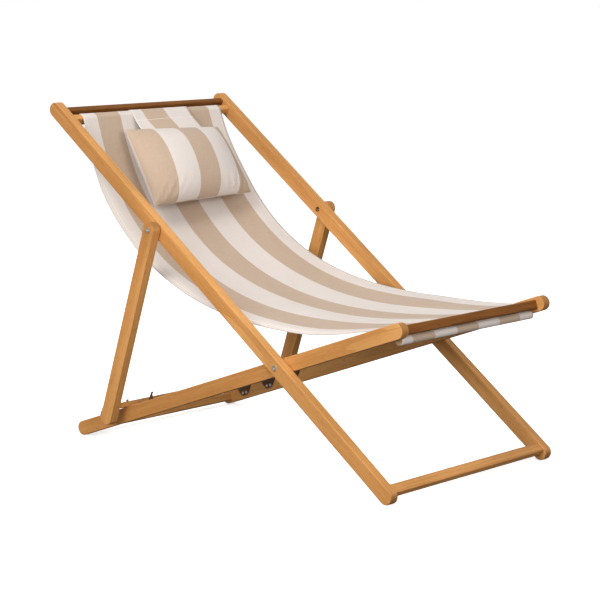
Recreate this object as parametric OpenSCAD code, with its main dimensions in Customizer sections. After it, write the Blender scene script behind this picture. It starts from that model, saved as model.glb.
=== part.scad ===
// Folding deck chair: three hinged wooden frames, a striped canvas sling and a head pillow.
// Millimetres. X runs across the chair, the sitter faces -Y, and Z = 0 is the floor.
// Back frame places are (s, o): s runs up its rails from the foot, o stands off their front edge.
// Seat frame places are (s, o): s runs forward along its rails from the rear foot, o points up.

/* [Frames] */
// Width over the two back rails
chair_w = 552; // [500:1:620]
// Back rail, between the centres of its round ends
back_rail_l = 1233; // [1180:1:1320]
// Seat rail, between the centres of its round ends
seat_rail_l = 1002; // [960:1:1060]
// Prop leg, between the centres of its round ends
prop_leg_l = 464; // [450:1:500]
// Thickness of every rail and leg, across the chair
rail_t = 22; // [18:0.5:28]
// Depth of every rail and leg
rail_d = 33; // [28:0.5:42]
// Gap between neighbouring frames
frame_gap = 2.2; // [1.8:0.1:4]

/* [Pivots] */
// Seat pivot, along the back rail from its foot
seat_pivot_up = 378; // [350:1:420]
// Seat pivot, along the seat rail from its rear end
seat_pivot_fwd = 674; // [640:1:710]
// Prop pivot, along the back rail from its foot
prop_pivot_up = 820; // [800:1:850]
// Shank of the pivot bolts
bolt_d = 6; // [5:0.5:8]
// Head of the pivot bolts
bolt_head_d = 12; // [10:0.5:16]
// Radial play of a bolt in its hole
bolt_play = 0.05; // [0.02:0.01:0.1]

/* [Recline] */
// Hook that the prop bar rests against, counted from the rear
notch = 2; // [1:1:3]
// Rearmost place of the prop bar's centre, along the seat rail
first_rest = 71; // [66:1:80]
// Distance from one hook to the next
hook_pitch = 87; // [70:1:95]
// Thickness of a hook plate
hook_t = 2.5; // [2:0.5:4]

/* [Cross bars] */
// Depth of the two end bars, across their rails
end_bar_d = 20; // [16:0.5:26]
// Width of the two end bars, along their rails
end_bar_w = 14; // [12:0.5:18]
// Side of the two square bars that the sling passes over
sling_bar_w = 16; // [14:0.5:24]
// Gap between an end bar and its sling bar
cloth_slot = 11; // [6:0.5:13]
// Width of the front foot bar, along the back rails
foot_bar_w = 24; // [20:0.5:30]
// Depth of the front foot bar
foot_bar_d = 16; // [12:0.5:20]
// Side of the square rear foot bar
rear_bar_w = 20; // [16:0.5:24]
// Width of the prop bar, along the seat rails
prop_bar_w = 20; // [16:0.5:22]
// Height of the prop bar above the seat rails
prop_bar_h = 12; // [10:0.5:18]
// Prop bar, along the prop leg from the centre of its lower end
prop_bar_up = 25; // [18:1:60]
// Diameter of the round tenons on the bars
tenon_d = 9; // [6:0.5:9.5]
// Length of the round tenons
tenon_l = 12; // [8:0.5:16]

/* [Canvas] */
// Gap between the sling and the seat rails beside it
sling_side = 6.8; // [5:0.1:30]
// Thickness of the canvas
cloth_t = 1.4; // [1:0.1:2]
// Diameter of the dowels in the sling's hems
dowel_d = 14; // [10:0.5:18]
// How strongly the sling hangs down from the head bar
head_hang = 384; // [340:1:420]
// How far the sling runs back from the seat bar before it climbs
seat_hang = 472; // [420:1:500]
// Width of the head pillow
pillow_w = 296; // [240:1:340]
// Length of the head pillow
pillow_l = 214; // [170:1:240]
// Thickness of the head pillow
pillow_t = 94; // [50:1:110]
// Width of the flap that hangs the pillow on the head bar
flap_w = 178; // [120:1:230]

/* [Hidden] */
$fn = 48;

wood = "peru";
dark_wood = "saddlebrown";
steel = "silver";
iron = "dimgray";
canvas = "antiquewhite";

// Clearances: between bodies, of a tenon in its mortise, of a screw in its hole
part_gap = 0.3;
tenon_play = 0.05;
screw_play = 0.05;
edge_r = 3;             // rounding of the bars' long edges
washer_t = frame_gap - 2 * part_gap;
washer_d = 16;
head_t = 2.2;           // height of a bolt head
key_d = 4.5;            // hexagon socket in a bolt head
key_deep = 1.4;
nut_t = 5;              // cap nut on the seat pivot
sunk_nut_t = 4;         // nut let into the back rail, flush with its face
nut_d = 12;
nut_wall = 1.2;         // blind end of a nut
screw_d = 3.5;
screw_head_d = 7;
screw_head_t = 1.8;
screw_l = 14;

rail_r = rail_d / 2;
tenon_hole_d = tenon_d + 2 * tenon_play;
bolt_hole_d = bolt_d + 2 * bolt_play;

// Inner faces of the three pairs of rails
back_in = chair_w / 2 - rail_t;
seat_in = back_in - frame_gap - rail_t;
prop_in = chair_w / 2 + frame_gap;

// Triangle of seat pivot, prop pivot and prop bar sets how far the frames open
bar_rest = first_rest + (notch - 1) * hook_pitch;
bar_lift = rail_r + part_gap + prop_bar_h / 2;
pivot_gap = prop_pivot_up - seat_pivot_up;
bar_reach = norm([seat_pivot_fwd - bar_rest, bar_lift]);
prop_reach = prop_leg_l - prop_bar_up;
function corner_angle(a, b, c) = acos((a * a + b * b - c * c) / (2 * a * b));
open_angle = corner_angle(pivot_gap, bar_reach, prop_reach) + atan2(bar_lift, seat_pivot_fwd - bar_rest);

// Triangle of the two feet and the seat pivot sets the slopes
foot_spread = sqrt(pow(seat_pivot_up, 2) + pow(seat_pivot_fwd, 2)
    + 2 * seat_pivot_up * seat_pivot_fwd * cos(open_angle));
back_slope = corner_angle(seat_pivot_up, foot_spread, seat_pivot_fwd);
seat_slope = open_angle - back_slope;

// The chair's box is centred on Y = 0
raw_rear = max(back_rail_l * cos(back_slope), foot_spread);
raw_front = min(foot_spread - seat_rail_l * cos(seat_slope), 0);
front_foot_y = -(raw_rear + raw_front) / 2;
rear_foot_y = front_foot_y + foot_spread;

function turn(p, a) = [p.x * cos(a) - p.y * sin(a), p.x * sin(a) + p.y * cos(a)];
function on_back(s, o) = [front_foot_y, rail_r] + turn([s, o], back_slope);
function on_seat(s, o) = [rear_foot_y, rail_r] + turn([-s, o], -seat_slope);

seat_pivot = on_back(seat_pivot_up, 0);
prop_pivot = on_back(prop_pivot_up, 0);
bar_centre = on_seat(bar_rest, bar_lift);
prop_slope = atan2(bar_centre.y - prop_pivot.y, bar_centre.x - prop_pivot.x);

// Places of the cross bars along their rails
end_bar_in = 10;        // end bar's centre, in from the centre of the rail's end
sling_bar_in = end_bar_in + end_bar_w / 2 + cloth_slot + sling_bar_w / 2;
foot_bar_up = 7;
foot_bar_out = rail_r - 2.5 - foot_bar_d / 2;
rear_bar_up = 4;
sling_bar_r = sling_bar_w / 2;
slot_in = end_bar_in + end_bar_w / 2 + cloth_slot / 2;

// ---- canvas path ----
sling_w = 2 * (seat_in - sling_side);
cloth_off = part_gap + cloth_t / 2;
hem_r = dowel_d / 2 + cloth_off;
dowel_out = -(max(end_bar_d, sling_bar_w) / 2 + hem_r + cloth_t / 2 + part_gap);
wrap_r = edge_r + cloth_off;
hem_gap = 16;           // the hem's loop starts and ends this many degrees from the slot

function arc(c, r, a0, a1, n) = [for (i = [0:n]) let (a = a0 + (a1 - a0) * i / n) c + r * [cos(a), sin(a)]];
// A layer's path over a sling bar, on its two upper edges, until it leaves the bar
function over_bar(bar_s, r, leave) = concat(
    arc([bar_s + sling_bar_r - edge_r, sling_bar_r - edge_r], r, 0, min(leave, 90), 5),
    leave <= 90 ? [] : arc([bar_s - sling_bar_r + edge_r, sling_bar_r - edge_r], r, 90, leave, 4));
// Around a hem's dowel, up through the slot and over the bar
function hem_path(bar_s, leave) = concat(
    arc([bar_s + sling_bar_r + cloth_slot / 2, dowel_out], hem_r, 90 - hem_gap, -270 + hem_gap, 28),
    over_bar(bar_s, wrap_r, leave));
function bezier(p, t) = let (u = 1 - t)
    u * u * u * p[0] + 3 * u * u * t * p[1] + 3 * u * t * t * p[2] + t * t * t * p[3];

head_leave = 126;       // angle at which the cloth leaves the head bar's rounded edge
seat_leave = 79;        // and the seat bar's
head_path = [for (p = hem_path(back_rail_l - sling_bar_in, head_leave)) on_back(p.x, p.y)];
seat_path = [for (p = hem_path(seat_rail_l - sling_bar_in, seat_leave)) on_seat(p.x, p.y)];
head_end = head_path[len(head_path) - 1];
seat_end = seat_path[len(seat_path) - 1];
head_tangent = turn([1, 0], head_leave + 90 + back_slope);
seat_tangent = turn([1, 0], 90 - seat_leave - seat_slope);
sag_handles = [
    head_end, head_end + head_hang * head_tangent, seat_end + seat_hang * seat_tangent, seat_end
];
sag_steps = 44;
sag_path = [for (i = [1:sag_steps - 1]) bezier(sag_handles, i / sag_steps)];
reversed_seat = [for (i = [len(seat_path) - 1:-1:0]) seat_path[i]];
cloth_path = concat(head_path, sag_path, reversed_seat);

function unit(v) = v / norm(v);
function side(path, i, off) = let (
    a = path[max(i - 1, 0)], b = path[min(i + 1, len(path) - 1)], d = unit(b - a))
    path[i] + off * [-d.y, d.x];
// Band of the given thickness along a path
module band(path, t) {
    n = len(path);
    polygon(concat([for (i = [0:n - 1]) side(path, i, t / 2)],
        [for (i = [n - 1:-1:0]) side(path, i, -t / 2)]));
}

// ---- pillow ----
pillow_at = 0.148;      // where its back comes near the sling, as a share of the sag from the head
pillow_off = 4;         // gap from the sling there
pillow_lean = 3.5;      // its upper seam leans back this much more than the sling
near_point = bezier(sag_handles, pillow_at);
near_dir = unit(bezier(sag_handles, pillow_at / 2) - bezier(sag_handles, pillow_at * 3 / 2));
pillow_centre = near_point + (pillow_t / 2 + cloth_t / 2 + pillow_off) * [-near_dir.y, near_dir.x];
pillow_slope = atan2(near_dir.y, near_dir.x) - pillow_lean;

// ---- placing ----
// Draws in the plane of Y and Z, and extrudes along X
module across(x0, width) translate([x0, 0, 0]) rotate([90, 0, 90]) linear_extrude(width) children();
module at(p, a) translate(p) rotate(a) children();
module back_place(s, o) at(on_back(s, o), back_slope) children();
module seat_place(s, o) at(on_seat(s, o), -seat_slope) children();
module both_sides() {
    children();
    mirror([1, 0, 0]) children();
}
// Puts a round hole or pin along X through the point p of the Y-Z plane
module pin_at(p, x0, l, d) translate([x0, p.x, p.y]) rotate([0, 90, 0]) cylinder(h = l, d = d);

// ---- rails ----
module rail_outline(l) {
    translate([0, -rail_r]) square([l, rail_d]);
    circle(rail_r);
    translate([l, 0]) circle(rail_r);
}
module mortise(p, inner) pin_at(p, inner - 1, tenon_l + 1.5, tenon_hole_d);
module bolt_hole(p) pin_at(p, 0, prop_in + rail_t + 1, bolt_hole_d);

module back_rail() color(wood) difference() {
    across(back_in, rail_t) at([front_foot_y, rail_r], back_slope) rail_outline(back_rail_l);
    bolt_hole(seat_pivot);
    bolt_hole(prop_pivot);
    pin_at(prop_pivot, back_in - 1, sunk_nut_t + 1, nut_d + 2 * part_gap);
    mortise(on_back(back_rail_l - end_bar_in, 0), back_in);
    mortise(on_back(back_rail_l - sling_bar_in, 0), back_in);
    mortise(on_back(foot_bar_up, foot_bar_out), back_in);
}
module seat_rail() color(wood) difference() {
    across(seat_in, rail_t) at([rear_foot_y, rail_r], 180 - seat_slope) rail_outline(seat_rail_l);
    bolt_hole(seat_pivot);
    mortise(on_seat(seat_rail_l - end_bar_in, 0), seat_in);
    mortise(on_seat(seat_rail_l - sling_bar_in, 0), seat_in);
    mortise(on_seat(rear_bar_up, 0), seat_in);
    for (k = [1:3], p = screw_places(k)) pin_at(p, seat_in - 1, screw_l + 1, screw_d + 2 * screw_play);
}
module prop_leg() color(wood) difference() {
    across(prop_in, rail_t) at(prop_pivot, prop_slope) rail_outline(prop_leg_l);
    bolt_hole(prop_pivot);
    mortise(bar_centre, prop_in);
}

// ---- cross bars ----
module round_rect(w, h, r) {
    square([w, h - 2 * r], center = true);
    square([w - 2 * r, h], center = true);
    for (i = [-1, 1], j = [-1, 1]) translate([i * (w / 2 - r), j * (h / 2 - r)]) circle(r);
}
// Bar between two inner faces, centred on p, turned by a, with a round tenon at each end
module cross_bar(p, a, inner, w, h) {
    across(-inner, 2 * inner) at(p, a) round_rect(w, h, edge_r);
    both_sides() pin_at(p, inner, tenon_l, tenon_d);
}
module head_end_bar() color(dark_wood)
    cross_bar(on_back(back_rail_l - end_bar_in, 0), back_slope, back_in, end_bar_w, end_bar_d);
module head_sling_bar() color(wood)
    cross_bar(on_back(back_rail_l - sling_bar_in, 0), back_slope, back_in, sling_bar_w, sling_bar_w);
module front_foot_bar() color(wood)
    cross_bar(on_back(foot_bar_up, foot_bar_out), back_slope, back_in, foot_bar_w, foot_bar_d);
module seat_end_bar() color(dark_wood)
    cross_bar(on_seat(seat_rail_l - end_bar_in, 0), -seat_slope, seat_in, end_bar_w, end_bar_d);
module seat_sling_bar() color(wood)
    cross_bar(on_seat(seat_rail_l - sling_bar_in, 0), -seat_slope, seat_in, sling_bar_w, sling_bar_w);
module rear_foot_bar() color(wood)
    cross_bar(on_seat(rear_bar_up, 0), -seat_slope, seat_in, rear_bar_w, rear_bar_w);
module prop_bar() color(wood)
    cross_bar(bar_centre, -seat_slope, prop_in, prop_bar_w, prop_bar_h);

// ---- pivots ----
// Bolt through two rails from the outer face, with its shank ending inside the nut
module pivot_bolt(p, outer, end) difference() {
    union() {
        pin_at(p, end, outer - end, bolt_d);
        pin_at(p, outer, head_t, bolt_head_d);
    }
    translate([outer + head_t - key_deep, p.x, p.y]) rotate([0, 90, 0])
        cylinder(h = key_deep + 1, d = key_d, $fn = 6);
}
module nut(p, inner, t) difference() {
    pin_at(p, inner - t, t, nut_d);
    pin_at(p, inner - t + nut_wall, t, bolt_hole_d);
}
module washer(p, inner) difference() {
    pin_at(p, inner, washer_t, washer_d);
    bolt_hole(p);
}
module seat_pivot_bolts() color(steel) both_sides()
    pivot_bolt(seat_pivot, back_in + rail_t, seat_in - nut_t + nut_wall + part_gap);
module seat_pivot_nuts() color(steel) both_sides() nut(seat_pivot, seat_in - part_gap, nut_t);
module seat_pivot_washers() color(steel) both_sides()
    washer(seat_pivot, back_in - frame_gap + part_gap);
module prop_pivot_bolts() color(steel) both_sides()
    pivot_bolt(prop_pivot, prop_in + rail_t + part_gap, back_in + nut_wall + part_gap);
module prop_pivot_nuts() color(steel) both_sides() nut(prop_pivot, back_in + sunk_nut_t, sunk_nut_t);
module prop_pivot_washers() color(steel) both_sides() washer(prop_pivot, chair_w / 2 + part_gap);

// ---- hooks ----
screw_spots = [[-10.5, -2], [1.5, -2.5]];
hook_top = rail_r - 3;  // upper edge of the plate, just below the rail's
hook_low = -8;
prong_bend = rail_r + part_gap + prop_bar_h + part_gap;
prong_top = prong_bend + 5;
function rest_place(k) = first_rest + (k - 1) * hook_pitch;
function screw_places(k) = [for (q = screw_spots) on_seat(rest_place(k) + q.x, q.y)];
// Plate under the bar's place, and a broad prong behind it whose tip leans over the bar
module hook_outline() translate([-prop_bar_w / 2, 0]) polygon([
    [-6.5, hook_low], [12.5, hook_low], [29.5, hook_top - 3], [29.5, hook_top], [-5, hook_top],
    [-1, hook_top + 5], [-part_gap, prong_bend], [4.5, prong_top - 2.5], [3.5, prong_top], [0, prong_top],
    [-17, hook_top + 3], [-15, hook_top - 6]
]);
module hook(k) color(iron) difference() {
    across(seat_in - hook_t, hook_t) translate(on_seat(rest_place(k), 0)) rotate(-seat_slope)
        mirror([1, 0]) hook_outline();
    for (p = screw_places(k)) pin_at(p, seat_in - hook_t - 1, hook_t + 2, screw_d + 2 * screw_play);
}
module hook_screws() color(steel) for (k = [1:3], p = screw_places(k)) {
    pin_at(p, seat_in - hook_t, screw_l, screw_d);
    pin_at(p, seat_in - hook_t - screw_head_t, screw_head_t, screw_head_d);
}

// ---- canvas ----
module dowel(p) color(wood) translate([-sling_w / 2, p.x, p.y]) rotate([0, 90, 0])
    cylinder(h = sling_w, d = dowel_d);
module head_dowel() dowel(on_back(back_rail_l - slot_in, dowel_out));
module seat_dowel() dowel(on_seat(seat_rail_l - slot_in, dowel_out));
module sling() color(canvas) across(-sling_w / 2, sling_w) band(cloth_path, cloth_t);

// Outline between two equal arcs that meet in a seam at each end
module lens(l, t) {
    r = (l * l / 4 + t * t / 4) / t;
    intersection() {
        translate([0, r - t / 2]) circle(r, $fn = 120);
        translate([0, t / 2 - r]) circle(r, $fn = 120);
    }
}
module pillow() color(canvas) intersection() {
    across(-pillow_w, 2 * pillow_w) at(pillow_centre, pillow_slope) lens(pillow_l, pillow_t);
    translate([0, pillow_centre.x, pillow_centre.y]) rotate([pillow_slope, 0, 0])
        translate([0, pillow_l, 0]) rotate([90, 0, 0]) linear_extrude(2 * pillow_l) lens(pillow_w, pillow_t);
}
// Flap from the pillow's upper seam over the sling on the head bar, with its tail beside the sling in the slot
flap_off = cloth_off + cloth_t + part_gap;
flap_s = back_rail_l - sling_bar_in;
sling_run = unit([
    cloth_slot / 2 - hem_r * sin(hem_gap) - cloth_off, dowel_out + hem_r * cos(hem_gap) - sling_bar_r + edge_r
]);
tail_flare = 0.6;       // how far the tail's end stands off the sling's run through the slot
flap_tail = [flap_s + sling_bar_r + flap_off + tail_flare, sling_bar_r - edge_r]
    + (2 * sling_bar_r - edge_r) * sling_run;
flap_leave = head_leave - 14;
flap_seam = pillow_centre + turn([pillow_l / 2 + part_gap, 0], pillow_slope);
flap_path = concat(
    [for (p = concat([flap_tail], over_bar(flap_s, edge_r + flap_off, flap_leave))) on_back(p.x, p.y)],
    [flap_seam]);
module pillow_flap() color(canvas) across(-flap_w / 2, flap_w) band(flap_path, cloth_t);

module back_rail_left() back_rail();
module back_rail_right() mirror([1, 0, 0]) back_rail();
module seat_rail_left() seat_rail();
module seat_rail_right() mirror([1, 0, 0]) seat_rail();
module prop_leg_left() prop_leg();
module prop_leg_right() mirror([1, 0, 0]) prop_leg();

back_rail_right();
back_rail_left();
head_end_bar();
head_sling_bar();
front_foot_bar();
seat_rail_right();
seat_rail_left();
seat_end_bar();
seat_sling_bar();
rear_foot_bar();
prop_leg_right();
prop_leg_left();
prop_bar();
seat_pivot_bolts();
seat_pivot_washers();
seat_pivot_nuts();
prop_pivot_bolts();
prop_pivot_washers();
prop_pivot_nuts();
mirror([1, 0, 0]) hook(1);  // hook_right_rear
mirror([1, 0, 0]) hook(2);  // hook_right_middle
mirror([1, 0, 0]) hook(3);  // hook_right_front
hook(1);  // hook_left_rear
hook(2);  // hook_left_middle
hook(3);  // hook_left_front
mirror([1, 0, 0]) hook_screws();  // hook_screws_right
hook_screws();  // hook_screws_left
head_dowel();
seat_dowel();
sling();
pillow_flap();
pillow();
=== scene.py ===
import bisect
import bmesh
import bpy
import math
from mathutils import Matrix, Vector


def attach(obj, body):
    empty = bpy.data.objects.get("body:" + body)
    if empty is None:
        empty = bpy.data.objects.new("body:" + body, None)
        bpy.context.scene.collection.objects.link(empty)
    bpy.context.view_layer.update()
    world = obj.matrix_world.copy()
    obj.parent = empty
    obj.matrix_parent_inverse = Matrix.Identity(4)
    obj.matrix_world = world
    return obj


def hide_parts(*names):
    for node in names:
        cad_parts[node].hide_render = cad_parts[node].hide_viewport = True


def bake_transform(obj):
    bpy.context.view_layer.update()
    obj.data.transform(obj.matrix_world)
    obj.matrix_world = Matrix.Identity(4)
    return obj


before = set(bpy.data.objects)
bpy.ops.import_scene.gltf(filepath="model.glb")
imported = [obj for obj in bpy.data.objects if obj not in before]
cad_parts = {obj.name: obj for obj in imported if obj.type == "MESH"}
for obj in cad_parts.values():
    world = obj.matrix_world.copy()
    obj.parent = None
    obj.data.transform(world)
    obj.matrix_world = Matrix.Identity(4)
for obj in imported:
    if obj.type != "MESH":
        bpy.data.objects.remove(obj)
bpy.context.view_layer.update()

# ---- sizes shared with the frame, in metres and degrees ----
BACK_SLOPE = math.radians(36.7579)
SEAT_SLOPE = math.radians(19.6103)
FRONT_FOOT = Vector((0, -0.490856, 0.0165))
REAR_FOOT = Vector((0, 0.446893, 0.0165))
# Rails and legs, between the centres of their rounded ends
BACK_L = 1.233
SEAT_L = 1.002
PROP_L = 0.464
SLING_BAR_IN = 0.036    # sling bars and end bars, down from the centre of the rails' upper ends
END_BAR_IN = 0.010
HEAD_BAR_S = BACK_L - SLING_BAR_IN      # along the back rails from the front foot
SEAT_BAR_S = SEAT_L - SLING_BAR_IN      # along the seat rails from the rear foot
BAR_HALF = 0.008        # half the width of a sling bar
BAR_EDGE = 0.003        # round on the long edges of a cross bar
SLOT = 0.011            # between a sling bar and its end bar
DOWEL_OUT = -0.019      # a dowel's centre, out from the middle line of the rails
HEM_R = 0.008           # a hem's ring round its dowel
WRAP_R = 0.004          # the sling's round over the edge of a bar
HEAD_LEAVE = math.radians(126)  # turn of the sling round a bar, where it leaves it
SEAT_LEAVE = math.radians(79)
SLING_HALF = 0.223
CLOTH = 0.0012

ALONG_BACK = Vector((0, math.cos(BACK_SLOPE), math.sin(BACK_SLOPE)))
OUT_BACK = Vector((0, -math.sin(BACK_SLOPE), math.cos(BACK_SLOPE)))
ALONG_SEAT = Vector((0, -math.cos(SEAT_SLOPE), math.sin(SEAT_SLOPE)))
OUT_SEAT = Vector((0, math.sin(SEAT_SLOPE), math.cos(SEAT_SLOPE)))


def on_back(s, o):
    """A place s along the back rails from the front foot and o out from their middle line."""
    return FRONT_FOOT + s * ALONG_BACK + o * OUT_BACK


def on_seat(s, o):
    """A place s along the seat rails from the rear foot and o out from their middle line."""
    return REAR_FOOT + s * ALONG_SEAT + o * OUT_SEAT


# ---- node trees written as expressions ----
class Socket:
    """An output socket of a material, whose arithmetic adds Math nodes."""

    def __init__(self, finish, out):
        self.finish, self.out = finish, out

    def math(self, operation, *others):
        values = {i: v for i, v in enumerate((self, *others))}
        return self.finish.node("ShaderNodeMath", {"operation": operation}, values)

    def flipped(self, operation, other):
        return self.finish.node("ShaderNodeMath", {"operation": operation}, {0: other, 1: self})

    def __add__(self, other):
        return self.math("ADD", other)

    def __sub__(self, other):
        return self.math("SUBTRACT", other)

    def __rsub__(self, other):
        return self.flipped("SUBTRACT", other)

    def __mul__(self, other):
        return self.math("MULTIPLY", other)

    def __truediv__(self, other):
        return self.math("DIVIDE", other)

    def __rtruediv__(self, other):
        return self.flipped("DIVIDE", other)

    __radd__ = __add__
    __rmul__ = __mul__


class Finish:
    """A material of the chair: its nodes, and the sockets of its shader."""

    def __init__(self, name, **constants):
        self.material = bpy.data.materials.new(name)
        self.material.use_nodes = True
        self.tree = self.material.node_tree
        self.shader = self.tree.nodes["Principled BSDF"]
        for socket, value in constants.items():
            self.shader.inputs[socket.replace("_", " ")].default_value = value

    def node(self, kind, settings=None, values=None, output=0):
        """Adds a node, sets it up, fills its sockets with numbers or links, and returns one output."""
        made = self.tree.nodes.new(kind)
        for key, value in (settings or {}).items():
            setattr(made, key, value)
        for key, value in (values or {}).items():
            if isinstance(value, Socket):
                self.tree.links.new(value.out, made.inputs[key])
            else:
                made.inputs[key].default_value = value
        return Socket(self, made.outputs[output])

    def feed(self, socket, value):
        self.tree.links.new(value.out, self.shader.inputs[socket])

    def own_place(self):
        """The piece's own coordinates, in metres."""
        return self.node("ShaderNodeTexCoord", output="Object")

    def noise(self, where, scale, detail=3.0, roughness=0.5, distortion=0.0):
        return self.node("ShaderNodeTexNoise", {}, {
            "Vector": where, "Scale": scale, "Detail": detail,
            "Roughness": roughness, "Distortion": distortion})

    def mix(self, factor, a, b, blend="MIX"):
        """Mixes two colours, each a tuple or a socket."""
        def colour(c):
            return c if isinstance(c, Socket) else (*c, 1)
        return self.node("ShaderNodeMix", {"data_type": "RGBA", "blend_type": blend},
                         {0: factor, 6: colour(a), 7: colour(b)}, output=2)

    def step(self, value, low, high):
        """0 below low, 1 above high, and smooth between."""
        return self.node("ShaderNodeMapRange", {"interpolation_type": "SMOOTHSTEP"},
                         {"Value": value, "From Min": low, "From Max": high})

    def bump(self, height, distance, strength):
        self.feed("Normal", self.node("ShaderNodeBump", {}, {
            "Height": height, "Distance": distance, "Strength": strength}))


# ---- wood ----
LIGHT_WOOD = (0.740, 0.378, 0.128)
MID_WOOD = (0.530, 0.228, 0.060)
DARK_LIGHT = (0.265, 0.094, 0.012)
DARK_DARK = (0.135, 0.045, 0.006)
KNOT_DRAWN = 0.45       # a knot's height over its length along the grain


def wood_finish(name, light, dark, slope, end_grain=None, knots=(), seed=0.0):
    """Oiled hardwood, with its grain along a member that lies at a slope, or along X if slope is None."""
    f = Finish(name, Specular_IOR_Level=0.28)
    turn = (0, 0, math.pi / 2) if slope is None else (slope, 0, 0)
    own = f.own_place()

    def grain(along, across, shift=0.0):
        """Coordinates whose Y runs along the grain, where the given lengths are one pattern step."""
        return f.node("ShaderNodeMapping", {"vector_type": "TEXTURE"}, {
            "Vector": own, "Location": (seed * 0.31, shift + seed, seed * 0.17), "Rotation": turn,
            "Scale": (across, along, across)})
    fibres = f.noise(grain(0.11, 0.0030), 1.0, 5, 0.62)
    hairs = f.noise(grain(0.045, 0.0009), 1.0, 2, 0.6)
    figure = f.noise(grain(0.62, 0.022, 0.4), 1.0, 2, 0.5, 0.5)
    rings = f.node(
        "ShaderNodeTexWave", {"wave_type": "BANDS", "bands_direction": "X", "wave_profile": "SAW"},
        {"Vector": grain(0.55, 0.040), "Scale": 1.6, "Distortion": 5.5, "Detail": 2.5, "Detail Scale": 0.9})
    pores = f.step(f.noise(grain(0.020, 0.0011, 0.2), 1.0, 1, 0.4), 0.63, 0.72)
    cloudy = f.noise(grain(0.30, 0.11, 0.8), 1.0, 1)
    tone = fibres * 0.42 + rings * 0.20 + figure * 0.55 + hairs * 0.12
    colour = f.mix(f.step(tone, 0.41, 0.88), light, dark)
    colour = f.mix(f.step(cloudy, 0.35, 0.75) * 0.38, colour, tuple(0.62 * c for c in dark))
    colour = f.mix(pores * 0.42, colour, tuple(0.38 * c for c in dark))
    for centre, size in knots:
        near = f.node("ShaderNodeVectorMath", {"operation": "DISTANCE"}, {
            0: f.node("ShaderNodeVectorMath", {"operation": "MULTIPLY"}, {0: own, 1: (KNOT_DRAWN, 1, 1)}),
            1: (centre[0] * KNOT_DRAWN, centre[1], centre[2])}, output=1)
        ring = f.noise(own, 150.0, 1) * 0.003
        colour = f.mix((1 - f.step(near + ring, size * 0.35, size * 1.5)) * 0.75, colour,
                       tuple(0.30 * c for c in dark))
    if end_grain is not None:
        facing = f.node("ShaderNodeVectorMath", {"operation": "DOT_PRODUCT"}, {
            0: f.node("ShaderNodeTexCoord", output="Normal"), 1: tuple(end_grain)}, output=1).math("ABSOLUTE")
        colour = f.mix(f.step(facing, 0.25, 0.85) * 0.55, colour, tuple(0.40 * c for c in dark))
    f.feed("Base Color", colour)
    f.feed("Roughness", 0.44 + fibres * 0.16 + pores * 0.15)
    f.bump(fibres * 0.6 + hairs * 0.3 - pores * 0.8, 0.00035, 0.55)
    return f.material


# ---- metal ----
def metal_finish(name, colour, metallic, rough, speckle, wear=None):
    """Plated or painted steel with fine brushing, and wear on the high grain."""
    f = Finish(name, Specular_IOR_Level=0.5, Metallic=metallic)
    own = f.own_place()
    fine = f.noise(own, 900.0, 3, 0.6)
    broad = f.noise(own, 60.0, 2)
    shade = f.mix(f.step(broad, 0.35, 0.70) * 0.5, colour, tuple(c * 0.72 for c in colour))
    if wear is not None:
        bare = f.step(f.noise(own, 260.0, 4, 0.7), 0.60, 0.68)
        shade = f.mix(bare * 0.7, shade, wear)
    f.feed("Base Color", shade)
    f.feed("Roughness", rough + broad * 0.16 + fine * speckle)
    f.bump(fine, 0.00012, 0.5)
    return f.material


# ---- canvas finish ----
BEIGE = (0.468, 0.338, 0.240)
CREAM = (0.675, 0.615, 0.582)
STRIPE = 0.0728
THREAD = 0.0011         # one cycle of the weave
STITCH = 0.0034         # one stitch of a seam
RAGGED = 0.0012         # how much a stripe's edge wanders


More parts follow.
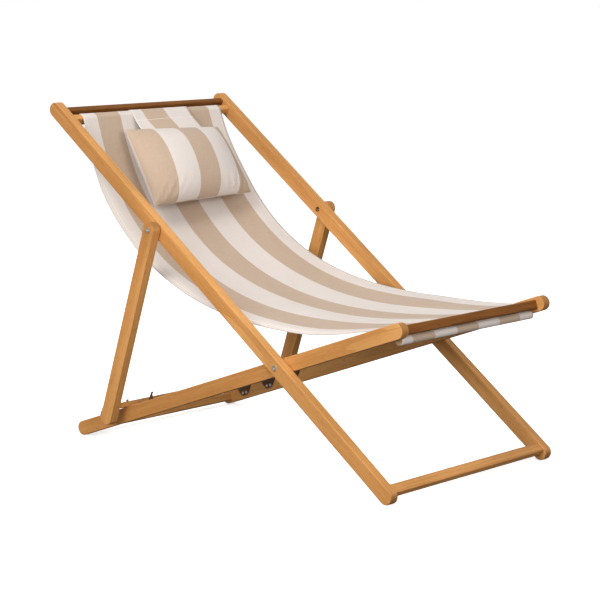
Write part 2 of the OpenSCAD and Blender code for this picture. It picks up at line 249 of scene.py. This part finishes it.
def canvas_finish(name, first_edge, seams=(), side_seam=None, drift=None):
    """Striped cotton canvas on the piece's own U (across) and V (along) in metres, with stitched seams.

    seams are places along V, side_seam is a distance each side of U = 0, and drift moves the stripes
    by its third value between the first two along V."""
    f = Finish(name, Specular_IOR_Level=0.18, Roughness=0.88, Sheen_Weight=0.12, Sheen_Roughness=0.5)
    uv = f.node("ShaderNodeUVMap", {"uv_map": "cut"})
    u = f.node("ShaderNodeSeparateXYZ", {}, {0: uv}, output=0)
    v = f.node("ShaderNodeSeparateXYZ", {}, {0: uv}, output=1)
    ragged = f.noise(uv, 420.0, 2, 0.7) * RAGGED - RAGGED / 2
    place = u + ragged - first_edge
    if drift is not None:
        place = place + f.step(v, drift[0], drift[1]) * drift[2]
    cycle = (place / (2 * STRIPE)).math("FRACT")
    beige = f.step(cycle, 0.0, 0.012) * (1 - f.step(cycle, 0.494, 0.506))
    warp = (u * (2 * math.pi / THREAD)).math("SINE")
    weft = (v * (2 * math.pi / THREAD)).math("SINE")
    weave = warp * weft
    slub, pick = (f.noise(f.node("ShaderNodeMapping", {}, {"Vector": uv, "Scale": drawn}), 1.0, 2, 0.6)
                  for drawn in ((900.0, 26.0, 1.0), (26.0, 900.0, 1.0)))
    washed = f.noise(uv, 9.0, 3, 0.6)
    colour = f.mix(beige, CREAM, BEIGE)
    thread_tone = 0.5 + weave * 0.10 + (slub - 0.5) * 0.55 + (pick - 0.5) * 0.55
    colour = f.mix(f.step(thread_tone, 0.0, 1.0) * 0.16, colour, (1.0, 0.97, 0.92), "SCREEN")
    colour = f.mix(f.step(1 - thread_tone, 0.1, 1.0) * 0.20, colour, (0.72, 0.64, 0.56), "MULTIPLY")
    colour = f.mix(f.step(washed, 0.45, 0.75) * 0.22, colour, (0.88, 0.84, 0.80), "MULTIPLY")
    height = weave * 0.25 + slub * 0.5 + pick * 0.5
    lines = None
    rows = [(v, seam, u) for seam in seams]
    if side_seam is not None:
        rows += [(u, -side_seam, v), (u, side_seam, v)]
    for across, seam, along in rows:
        line = 1 - f.step((across - seam).math("ABSOLUTE"), 0.0005, 0.0011)
        dash = f.step((along * (math.pi / STITCH)).math("SINE").math("ABSOLUTE"), 0.25, 0.55)
        stitch = line * dash
        dip = 1 - f.step((across - seam).math("ABSOLUTE"), 0.0010, 0.0040)
        lines = stitch if lines is None else lines + stitch
        height = height - dip * 1.6 + stitch * 1.5
    if lines is not None:
        colour = f.mix(lines * 0.7, colour, (0.86, 0.80, 0.72))
    f.feed("Base Color", colour)
    f.bump(height, 0.00022, 0.6)
    return f.material


# ---- the sling's path, from the head hem over both bars to the seat hem ----
HEM_OPEN = math.radians(16)     # half the gap in a hem's ring
HEAD_PULL = 0.384       # lengths of the handles of the sagging curve
SEAT_PULL = 0.472
SAG_STEPS = 120


def arc(centre, r, a0, a1, steps):
    """Points on a round from angle a0 to a1, along and out."""
    return [(centre[0] + r * math.cos(a0 + (a1 - a0) * i / steps),
             centre[1] + r * math.sin(a0 + (a1 - a0) * i / steps)) for i in range(steps + 1)]


def over_bar(bar_s, r, leave):
    """A layer's way over the two upper edges of a sling bar, until it leaves the bar."""
    corner = BAR_HALF - BAR_EDGE
    path = arc((bar_s + corner, corner), r, 0, min(leave, math.pi / 2), 6)
    if leave > math.pi / 2:
        path += arc((bar_s - corner, corner), r, math.pi / 2, leave, 5)
    return path


def hem_path(bar_s, leave):
    """The sling's end, from its hem round the dowel, up through the slot and over the bar."""
    ring = arc((bar_s + BAR_HALF + SLOT / 2, DOWEL_OUT), HEM_R,
               math.pi / 2 - HEM_OPEN, -1.5 * math.pi + HEM_OPEN, 30)
    return ring + over_bar(bar_s, WRAP_R, leave)


def bezier(p, t):
    u = 1 - t
    return u ** 3 * p[0] + 3 * u * u * t * p[1] + 3 * u * t * t * p[2] + t ** 3 * p[3]


def heading(angle):
    """The direction at an angle up from Y."""
    return Vector((0, math.cos(angle), math.sin(angle)))


head_way = [on_back(s, o) for s, o in hem_path(HEAD_BAR_S, HEAD_LEAVE)]
seat_way = [on_seat(s, o) for s, o in hem_path(SEAT_BAR_S, SEAT_LEAVE)]
handles = (head_way[-1], head_way[-1] + HEAD_PULL * heading(HEAD_LEAVE + math.pi / 2 + BACK_SLOPE),
           seat_way[-1] + SEAT_PULL * heading(math.pi / 2 - SEAT_LEAVE - SEAT_SLOPE), seat_way[-1])
sag_way = [bezier(handles, i / SAG_STEPS) for i in range(1, SAG_STEPS)]


class Way:
    """A path in the plane of Y and Z. At a length it gives a place, and the direction off the sitter's side."""

    def __init__(self, points):
        self.points = points
        self.runs = [0.0]
        for a, b in zip(points, points[1:]):
            self.runs.append(self.runs[-1] + (b - a).length)
        self.length = self.runs[-1]
        last = len(points) - 1
        self.tangents = [(points[min(i + 1, last)] - points[max(i - 1, 0)]).normalized()
                         for i in range(len(points))]

    def at(self, run):
        run = min(max(run, 0.0), self.length)
        i = min(max(bisect.bisect_right(self.runs, run) - 1, 0), len(self.points) - 2)
        k = (run - self.runs[i]) / (self.runs[i + 1] - self.runs[i])
        d = self.tangents[i].lerp(self.tangents[i + 1], k).normalized()
        return self.points[i].lerp(self.points[i + 1], k), Vector((0, d.z, -d.y))


sling_way = Way(head_way + sag_way + seat_way[::-1])
HEAD_RUN = sling_way.runs[len(head_way) - 1]
SEAT_RUN = sling_way.runs[len(head_way) + len(sag_way)]


def smooth(value, low, high):
    """0 below low, 1 above high, and smooth between."""
    t = min(max((value - low) / (high - low), 0.0), 1.0)
    return t * t * (3 - 2 * t)


NEAR_TILT = 0.0105      # fall of the near edge and rise of the far edge
FAR_TILT = 0.0150
NEAR_DROOP = 0.0050     # more fall over the last strip of the near edge
DROOP_W = 0.018


def sling_lift(x, run):
    """How far the canvas stands off its path: a sagging near edge, a raised far edge and soft waves."""
    free = (smooth(run, HEAD_RUN - 0.004, HEAD_RUN + 0.20)
            * (1 - smooth(run, SEAT_RUN - 0.26, SEAT_RUN + 0.004)))
    tilt = NEAR_TILT if x < 0 else FAR_TILT
    lift = tilt * math.copysign(abs(x / SLING_HALF) ** 1.3, x)
    if x < 0:
        lift -= NEAR_DROOP * smooth(-x, SLING_HALF - DROOP_W, SLING_HALF)
    share = (run - HEAD_RUN) / (SEAT_RUN - HEAD_RUN)
    lift += 0.0011 * math.sin(21 * x + 5 * share) * math.sin(9 * share + 1)
    lift += 0.0007 * math.sin(47 * x + 14 * share + 2)
    return lift * free


def place_object(name, bm, finish, body=None):
    """Makes a smooth-shaded piece of a bmesh, which rides on a body if one is named."""
    mesh = bpy.data.meshes.new(name)
    bm.to_mesh(mesh)
    bm.free()
    mesh.polygons.foreach_set("use_smooth", [True] * len(mesh.polygons))
    mesh.materials.append(finish)
    piece = bpy.data.objects.new(name, mesh)
    bpy.context.scene.collection.objects.link(piece)
    if body is not None:
        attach(piece, body)
    return piece


def strip(name, way, finish, span, columns, rows, lift, thick, low=0.0, high=None):
    """A strip of cloth along a path, from low to high.

    span(run) gives its two edges in X, and lift(x, run) how far it stands off the path."""
    high = way.length if high is None else high
    bm = bmesh.new()
    bmesh.ops.create_grid(bm, x_segments=columns, y_segments=rows, size=1.0)
    layer = bm.loops.layers.uv.new("cut")
    cut = {}
    for vert in bm.verts:
        run = low + (high - low) * (vert.co.y + 1) / 2
        left, right = span(run)
        x = left + (right - left) * (vert.co.x + 1) / 2
        spot, off = way.at(run)
        cut[vert] = (x, run)
        vert.co = spot + off * lift(x, run) + Vector((x, 0, 0))
    for face in bm.faces:
        for loop in face.loops:
            loop[layer].uv = cut[loop.vert]
    bmesh.ops.recalc_face_normals(bm, faces=bm.faces)
    piece = place_object(name, bm, finish)
    shell = piece.modifiers.new("thickness", "SOLIDIFY")
    shell.thickness = thick
    shell.offset = 0.0
    return piece


SIDE_HEM = 0.0105       # width of a side hem
HEM_SEAM = 0.054        # an end hem's seam, from the end of the cut
FIRST_STRIPE = 0.041    # the first whole stripe, from the right edge
STRIPE_DRIFT = 0.0070   # how far the stripes lean over the length of the sling


def dress(piece):
    """Bakes a soft piece's placement into its mesh."""
    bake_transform(piece)


sling_canvas = canvas_finish("sling canvas", FIRST_STRIPE - SLING_HALF,
                             seams=(HEM_SEAM, sling_way.length - HEM_SEAM),
                             side_seam=SLING_HALF - SIDE_HEM + 0.0015,
                             drift=(HEAD_RUN, SEAT_RUN, STRIPE_DRIFT))
sling = strip("canvas_sling", sling_way, sling_canvas, lambda run: (-SLING_HALF, SLING_HALF), 72, 400,
              sling_lift, CLOTH)
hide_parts("sling")
side_hems = []
for side, left in (("right", -SLING_HALF), ("left", SLING_HALF - SIDE_HEM)):
    hem = strip(f"sling_hem_{side}", sling_way, sling_canvas,
                lambda run, left=left: (left, left + SIDE_HEM), 6, 300,
                lambda x, run: sling_lift(x, run) - CLOTH * 0.95, CLOTH * 0.8,
                HEAD_RUN + 0.001, SEAT_RUN - 0.001)
    side_hems.append(hem)
for piece in (sling, *side_hems):
    dress(piece)


# ---- head pillow: a flat sewn bag, blown up as cloth, then laid against the sling ----
PILLOW_CENTRE = Vector((0, 0.34906, 0.61962))
PILLOW_SLOPE = math.radians(54.39)
ALONG_PILLOW = heading(PILLOW_SLOPE)
OUT_PILLOW = Vector((0, -ALONG_PILLOW.z, ALONG_PILLOW.y))
# Corners of the bag's seam, across and along the pillow
FOOT_NEAR, FOOT_FAR = Vector((-0.160, -0.101, 0)), Vector((0.163, -0.091, 0))
TOP_NEAR, TOP_FAR = Vector((-0.140, 0.108, 0)), Vector((0.161, 0.096, 0))
CROWN = 1.07            # length of the crowned panels over the width between their seams
BAG_LOFT = 0.047
PRESSURE = 4.6
PRESSURE_STEPS = 20
CREASE = 0.0025
PILLOW_GAP = 0.0022     # least stand-off of the pillow from the sling's middle
NEAR_PILLOW = range(37, 160)    # the points of the sling's path that the pillow can lie on


def on_seam_plane(x, y):
    """Place between the four corners, for x and y from -1 to 1, with sides that pull in between them."""
    side = 1 - 0.020 * (1 - y * y)
    end = 1 - 0.035 * (1 - x * x)
    across, along = (x * side + 1) / 2, (y * end + 1) / 2
    return FOOT_NEAR.lerp(FOOT_FAR, across).lerp(TOP_NEAR.lerp(TOP_FAR, across), along)


def sewn_bag():
    """Two panels joined round their edges, wider at the foot, with the cut of each in its UVs."""
    bm = bmesh.new()
    bmesh.ops.create_grid(bm, x_segments=80, y_segments=60, size=1.0)
    layer = bm.loops.layers.uv.new("cut")
    for face in bm.faces:
        for loop in face.loops:
            x, y = loop.vert.co.x, loop.vert.co.y
            near, place = on_seam_plane(-1, y), on_seam_plane(x, y)
            loop[layer].uv = ((place - near).length * CROWN, place.y * CROWN)
    back = bmesh.ops.duplicate(bm, geom=bm.verts[:] + bm.edges[:] + bm.faces[:])
    back_faces = [g for g in back["geom"] if isinstance(g, bmesh.types.BMFace)]
    back_verts = [g for g in back["geom"] if isinstance(g, bmesh.types.BMVert)]
    bmesh.ops.reverse_faces(bm, faces=back_faces)
    for face in back_faces:
        for loop in face.loops:
            loop[layer].uv.x += STRIPE
            loop[layer].uv.y += 0.5
    for vert in bm.verts:
        x, y = vert.co.x, vert.co.y
        loft = BAG_LOFT * max(0.0, (1 - abs(x) ** 2.6) * (1 - abs(y) ** 2.4)) ** 0.60
        vert.co = on_seam_plane(x, y) + Vector((0, 0, loft))
    for vert in back_verts:
        vert.co.z = -vert.co.z
    bmesh.ops.remove_doubles(bm, verts=bm.verts, dist=0.0002)
    return bm


def inflate(piece, pressure, steps):
    """Blows the bag up with Cloth, and applies the result."""
    scene = bpy.context.scene
    cloth = piece.modifiers.new("filling", "CLOTH")
    cloth.settings.quality = 6
    cloth.settings.mass = 0.25
    cloth.settings.use_pressure = True
    cloth.settings.uniform_pressure_force = pressure
    cloth.settings.tension_stiffness = cloth.settings.compression_stiffness = 18
    cloth.settings.shear_stiffness = 8
    cloth.settings.bending_stiffness = 0.35
    cloth.settings.air_damping = 2.0
    cloth.settings.effector_weights.gravity = 0.0
    seam = piece.vertex_groups.new(name="seam")
    seam.add([vert.index for vert in piece.data.vertices if abs(vert.co.z) < 1e-6], 1.0, "REPLACE")
    cloth.settings.vertex_group_mass = "seam"
    cloth.collision_settings.use_collision = False
    cloth.point_cache.frame_start, cloth.point_cache.frame_end = 1, steps
    for number in range(1, steps + 1):
        scene.frame_set(number)
    blown = piece.evaluated_get(bpy.context.evaluated_depsgraph_get()).to_mesh()
    places = [vert.co.copy() for vert in blown.vertices]
    piece.to_mesh_clear()
    piece.modifiers.remove(cloth)
    for vert, co in zip(piece.data.vertices, places):
        vert.co = co
    scene.frame_set(1)


def off_sling(point):
    """How far a point stands off the sling, and the direction off it."""
    i = min(NEAR_PILLOW, key=lambda n: (point.yz - sling_way.points[n].yz).length)
    d = sling_way.tangents[i]
    out = Vector((0, d.z, -d.y))
    flat = Vector((0, point.y, point.z)) - sling_way.points[i]
    run = sling_way.runs[i] + flat.dot(d)
    return flat.dot(out) - sling_lift(point.x, run), out


pillow_canvas = canvas_finish("pillow canvas", 0.0)
pillow = place_object("head_pillow", sewn_bag(), pillow_canvas)
inflate(pillow, PRESSURE, PRESSURE_STEPS)
for vert in pillow.data.vertices:
    x, y, z = vert.co
    near_foot = smooth(-y, 0.030, 0.072) * (1 - smooth(-y, 0.090, 0.101))
    near_top = 0.5 * smooth(y, 0.062, 0.088) * (1 - smooth(y, 0.092, 0.104))
    gather = 0.30 + 0.70 * smooth(abs(x), 0.045, 0.120)
    crease = math.sin(360 * x + 95 * math.copysign(y, x) + 2) + 0.5 * math.sin(610 * x - 140 * y)
    if z:
        z += math.copysign(CREASE * (near_foot + near_top) * gather * crease, z)
    spot = PILLOW_CENTRE + Vector((x, 0, 0)) + y * ALONG_PILLOW + z * OUT_PILLOW
    gap, out = off_sling(spot)
    if gap < PILLOW_GAP:
        spot = spot + out * (PILLOW_GAP - gap)
    vert.co = spot
rounder = pillow.modifiers.new("rounder", "SUBSURF")
rounder.levels = rounder.render_levels = 1
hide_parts("pillow")
dress(pillow)

# ---- flap from the pillow's upper seam over the sling at the head bar ----
FLAP_R = WRAP_R + CLOTH + 0.0003
FLAP_LEAVE = math.radians(114)
TAIL_FLARE = 0.0024     # the tail slants with the sling through the slot
flap_tail = (HEAD_BAR_S + BAR_HALF - BAR_EDGE + FLAP_R + TAIL_FLARE, -BAR_HALF)
flap_over = [on_back(s, o) for s, o in [flap_tail, *over_bar(HEAD_BAR_S, FLAP_R, FLAP_LEAVE)]]
flap_foot = PILLOW_CENTRE + ALONG_PILLOW * 0.098 - OUT_PILLOW * 0.004
flap_aim = heading(FLAP_LEAVE + math.pi / 2 + BACK_SLOPE)
flap_curve = (flap_over[-1], flap_over[-1] + flap_aim * 0.016, flap_foot + ALONG_PILLOW * 0.014, flap_foot)
flap_way = Way(flap_over + [bezier(flap_curve, i / 14) for i in range(1, 15)])


def flap_span(run):
    """The flap's two edges, which widen a little towards the pillow on one side and narrow on the other."""
    k = smooth(run, 0.03, flap_way.length)
    return -0.070 - 0.012 * k, 0.118 - 0.004 * k


flap = strip("pillow_flap_cloth", flap_way, sling_canvas, flap_span, 40, 44,
             lambda x, run: 0.0012 * math.sin(38 * x) * smooth(run, 0.03, 0.07), CLOTH)
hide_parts("pillow_flap")
dress(flap)


# ---- timber, one bevelled bar for each rail, leg and cross bar ----
def timber(name, node, centre, along, size, finish, body, round_end=0.0, edge=0.0018):
    """A bar of (across, along, deep) metres, lying along a direction in the plane of Y and Z.

    A rail or leg has rounded ends and its rims eased. A cross bar has its four long edges eased."""
    bm = bmesh.new()
    bmesh.ops.create_cube(bm, size=1.0)
    bmesh.ops.scale(bm, vec=Vector(size), verts=bm.verts)

    def across(e):
        return abs(e.verts[0].co.x - e.verts[1].co.x)

    def ease(edges, offset, segments):
        bmesh.ops.bevel(bm, geom=edges, offset=offset, segments=segments, profile=0.5,
                        affect="EDGES", material=-1)

    if round_end:
        ease([e for e in bm.edges if across(e) > 0.001], round_end, 12)
        ease([e for e in bm.edges if across(e) < 1e-6], edge, 3)
    else:
        ease([e for e in bm.edges if across(e) > 0.001], edge, 4)
    slope = math.atan2(along.z, along.y)
    bmesh.ops.rotate(bm, cent=(0, 0, 0), matrix=Matrix.Rotation(slope, 3, "X"), verts=bm.verts)
    bmesh.ops.translate(bm, vec=centre, verts=bm.verts)
    bmesh.ops.recalc_face_normals(bm, faces=bm.faces)
    piece = place_object(name, bm, finish, body)
    crisp = piece.modifiers.new("crisp", "WEIGHTED_NORMAL")
    crisp.keep_sharp = True
    crisp.weight = 80
    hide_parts(node)
    return piece


RAIL_T = 0.022          # thickness and depth of rails and legs
RAIL_D = 0.033
END_FLAT = 0.0002       # left between the two rounds of an end, so that they don't meet
BACK_IN = 0.254         # from the middle of the chair to the inner faces of each pair
SEAT_IN = 0.2298
PROP_IN = 0.2782
PROP_TOP = Vector((0, 0.166105, 0.507216))
PROP_BAR = Vector((0, 0.305709, 0.0910056))
ALONG_PROP = (PROP_BAR - PROP_TOP).normalized()
PROP_SLOPE = math.atan2(ALONG_PROP.z, ALONG_PROP.y)

for seed, (side, sign) in enumerate((("right", -1), ("left", 1))):
    rails = (
        ("back_rail", on_back(0, 0), ALONG_BACK, BACK_IN, BACK_L, BACK_SLOPE, "back_frame"),
        ("seat_rail", on_seat(0, 0), ALONG_SEAT, SEAT_IN, SEAT_L, -SEAT_SLOPE, "seat_frame"),
        ("prop_leg", PROP_TOP, ALONG_PROP, PROP_IN, PROP_L, PROP_SLOPE, "prop_frame"))
    for kind, (part, foot, along, inner, length, slope, body) in enumerate(rails):
        oiled = wood_finish(f"oiled {part} {side}", LIGHT_WOOD, MID_WOOD, slope, end_grain=along,
                            seed=1.7 * kind + 0.63 * seed)
        middle = foot + along * (length / 2) + Vector((sign * (inner + RAIL_T / 2), 0, 0))
        timber(f"oiled_{part}_{side}", f"{part}_{side}", middle, along, (RAIL_T, length + RAIL_D, RAIL_D),
               oiled, body, round_end=RAIL_D / 2 - END_FLAT)

FOOT_BAR = on_back(0.007, 0.006)
KNOT = (0.085, FOOT_BAR.y, FOOT_BAR.z)
cross_bars = (
    ("front_foot_bar", FOOT_BAR, ALONG_BACK, BACK_IN, 0.024, 0.016, "back_frame", False),
    ("head_sling_bar", on_back(HEAD_BAR_S, 0), ALONG_BACK, BACK_IN, 0.016, 0.016, "back_frame", False),
    ("head_end_bar", on_back(BACK_L - END_BAR_IN, 0), ALONG_BACK, BACK_IN, 0.014, 0.020, "back_frame", True),
    ("seat_sling_bar", on_seat(SEAT_BAR_S, 0), ALONG_SEAT, SEAT_IN, 0.016, 0.016, "seat_frame", False),
    ("seat_end_bar", on_seat(SEAT_L - END_BAR_IN, 0), ALONG_SEAT, SEAT_IN, 0.014, 0.020, "seat_frame", True),
    ("rear_foot_bar", on_seat(0.004, 0), ALONG_SEAT, SEAT_IN, 0.020, 0.020, "seat_frame", False),
    ("prop_bar", PROP_BAR, ALONG_SEAT, PROP_IN, 0.020, 0.012, "prop_frame", False))
for kind, (node, middle, along, inner, wide, deep, body, dark) in enumerate(cross_bars):
    tones = (DARK_LIGHT, DARK_DARK) if dark else (LIGHT_WOOD, MID_WOOD)
    knots = ((KNOT, 0.006),) if node == "front_foot_bar" else ()
    finish = wood_finish(f"{'dark' if dark else 'oiled'} {node}", *tones, None, knots=knots,
                         seed=5.1 + 0.9 * kind)
    timber(f"oiled_{node}", node, middle, along, (2 * inner, wide, deep), finish, body, edge=BAR_EDGE)

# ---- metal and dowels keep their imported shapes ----
steel = metal_finish("zinc plated steel", (0.84, 0.82, 0.78), 1.0, 0.30, 0.12)
iron = metal_finish("brown lacquered steel", (0.110, 0.054, 0.030), 0.35, 0.36, 0.20, (0.20, 0.13, 0.09))
dowel_wood = wood_finish("plain dowel", (0.66, 0.44, 0.22), (0.50, 0.29, 0.12), None, seed=14.0)
for node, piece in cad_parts.items():
    finish = None
    if node.startswith("hook_") and "screws" not in node:
        finish = iron
    elif "pivot" in node or "screws" in node:
        finish = steel
    elif node.endswith("dowel"):
        finish = dowel_wood
    if finish is not None:
        piece.data.materials.clear()
        piece.data.materials.append(finish)


# ---- room ----
def softbox(name, spot, aim, size, power, colour):
    lamp = bpy.data.lights.new(name, "AREA")
    lamp.shape = "SQUARE"
    lamp.size, lamp.energy, lamp.color = size, power, colour
    holder = bpy.data.objects.new(name, lamp)
    holder.location = spot
    holder.rotation_euler = (Vector(aim) - Vector(spot)).to_track_quat("-Z", "Y").to_euler()
    bpy.context.scene.collection.objects.link(holder)


softbox("key", (-2.9, -0.5, 3.0), (0, 0, 0.35), 1.2, 66, (1.0, 0.975, 0.94))
softbox("top", (0.2, 0.6, 3.6), (0, 0, 0.3), 1.8, 17, (1.0, 0.99, 0.97))
softbox("side", (-3.4, -1.0, 1.1), (0, 0, 0.3), 1.5, 47, (1.0, 0.985, 0.96))
softbox("front", (-1.4, -3.4, 1.6), (0, 0, 0.3), 1.5, 58, (1.0, 0.965, 0.91))
softbox("rear", (1.6, 3.8, 1.5), (0, 0, 0.4), 1.8, 34, (1.0, 0.985, 0.96))

world = bpy.data.worlds.new("studio")
world.use_nodes = True
sky_tree = world.node_tree
sky = sky_tree.nodes["Background"]
sky.inputs["Color"].default_value = (1, 1, 1, 1)
height = sky_tree.nodes.new("ShaderNodeSeparateXYZ")
dome = sky_tree.nodes.new("ShaderNodeMapRange")
dome.inputs["From Min"].default_value, dome.inputs["From Max"].default_value = -0.15, 0.10
dome.inputs["To Min"].default_value, dome.inputs["To Max"].default_value = 0.10, 0.46
seen = sky_tree.nodes.new("ShaderNodeLightPath")
backdrop = sky_tree.nodes.new("ShaderNodeMath")
backdrop.operation = "MAXIMUM"
sky_tree.links.new(sky_tree.nodes.new("ShaderNodeTexCoord").outputs["Generated"], height.inputs[0])
sky_tree.links.new(height.outputs["Z"], dome.inputs["Value"])
sky_tree.links.new(dome.outputs[0], backdrop.inputs[0])
sky_tree.links.new(seen.outputs["Is Camera Ray"], backdrop.inputs[1])
sky_tree.links.new(backdrop.outputs[0], sky.inputs["Strength"])
bpy.context.scene.world = world
bpy.context.scene.view_settings.view_transform = "Standard"

FLOOR_GAP = 0.0004      # the floor lies just under the feet
ground = bmesh.new()
bmesh.ops.create_grid(ground, x_segments=2, y_segments=2, size=60.0)
bmesh.ops.translate(ground, vec=(0, 0, -FLOOR_GAP), verts=ground.verts)
pale = Finish("pale floor", Base_Color=(0.93, 0.93, 0.93, 1), Roughness=0.9, Specular_IOR_Level=0.1,
              Emission_Color=(1, 1, 1, 1), Emission_Strength=0.62)
pale.bump(pale.noise(pale.own_place(), 30.0, 2), 0.0001, 0.2)
floor = place_object("studio_floor", ground, pale.material)
floor.visible_diffuse = floor.visible_glossy = False

lens = bpy.data.cameras.new("view")
lens.lens, lens.sensor_width = 122.16, 36.0
lens.clip_end = 200.0
camera = bpy.data.objects.new("view", lens)
camera.location = (-3.3378, -3.0525, 1.0439)
camera.rotation_euler = (math.radians(81.10), math.radians(0.06), math.radians(-47.65))
bpy.context.scene.collection.objects.link(camera)
bpy.context.scene.camera = camera

bpy.context.view_layer.update()
